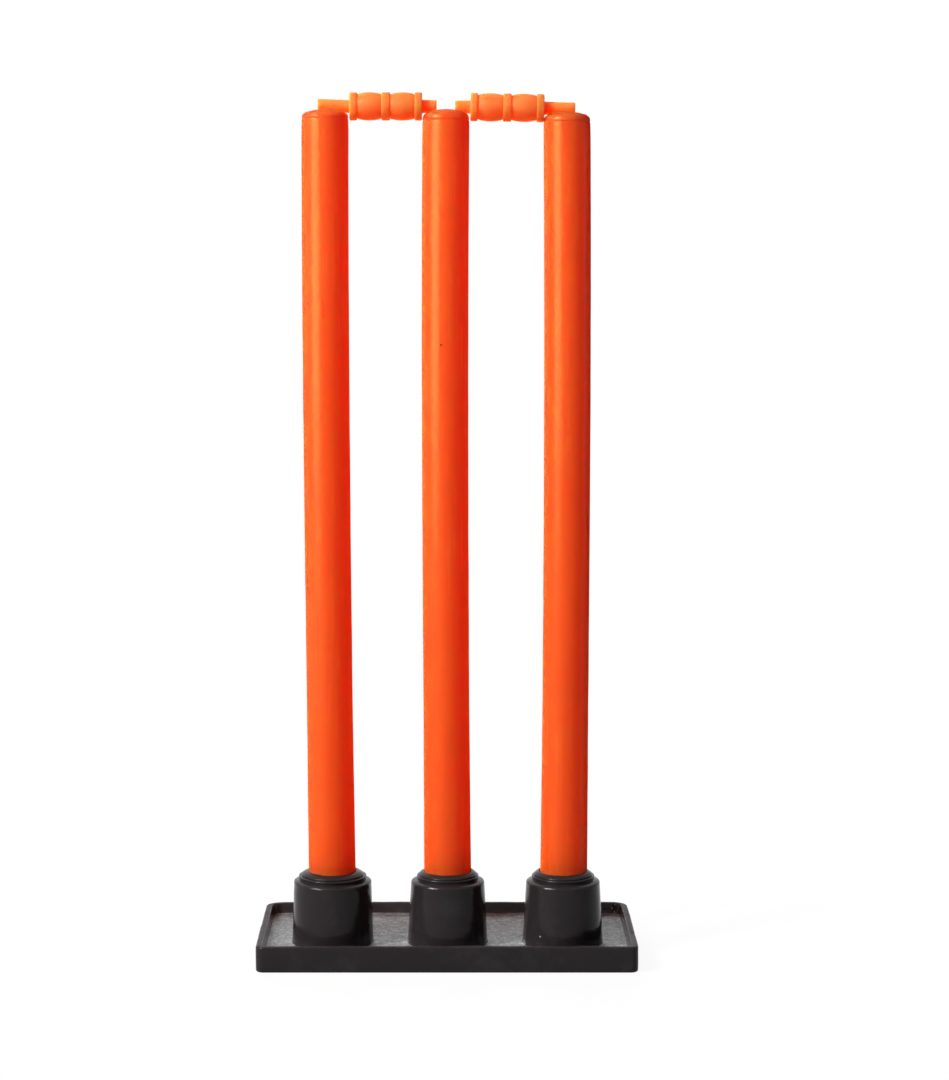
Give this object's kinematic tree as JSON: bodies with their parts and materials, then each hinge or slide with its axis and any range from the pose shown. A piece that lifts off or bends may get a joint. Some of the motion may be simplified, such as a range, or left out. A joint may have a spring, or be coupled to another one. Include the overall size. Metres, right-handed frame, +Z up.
{
  "type": "cricket stumps",
  "caption": "Free-standing cricket wicket: hollow plastic stumps lift out of sockets in a heavy rubber base, with loose bails lying in grooves across their tops.",
  "frame": {"origin": "on the ground under the middle of the rubber base", "axes": "+X along the row of stumps, +Y to the back, where the tray is widest, +Z up along the stumps"},
  "size_m": [0.312, 0.152, 0.705],
  "materials": {
    "orange_plastic": "satin moulded",
    "black_rubber": "matt moulded"
  },
  "bodies": {
    "base": {"rubber_base": "black_rubber"},
    "middle_stump": {"middle_stump": "orange_plastic"},
    "left_stump": {"left_stump": "orange_plastic"},
    "right_stump": {"right_stump": "orange_plastic"},
    "left_bail": {"left_bail": "orange_plastic"},
    "right_bail": {"right_bail": "orange_plastic"}
  },
  "joints": [
    {"name": "middle_stump_lift", "type": "slide", "parent": "base", "child": "middle_stump", "axis": [0, 0, 1], "range_m": [0, 0.08]},
    {"name": "left_stump_lift", "type": "slide", "parent": "base", "child": "left_stump", "axis": [0, 0, 1], "range_m": [0, 0.08]},
    {"name": "right_stump_lift", "type": "slide", "parent": "base", "child": "right_stump", "axis": [0, 0, 1], "range_m": [0, 0.08]},
    {"name": "left_bail_lift", "type": "slide", "parent": "middle_stump", "child": "left_bail", "axis": [0, 0, 1], "range_m": [0, 0.03]},
    {"name": "right_bail_lift", "type": "slide", "parent": "middle_stump", "child": "right_bail", "axis": [0, 0, 1], "range_m": [0, 0.03]}
  ],
  "couplings": [
    {"joint": "left_stump_lift", "follows": "middle_stump_lift", "ratio": 1},
    {"joint": "right_stump_lift", "follows": "middle_stump_lift", "ratio": 1}
  ]
}
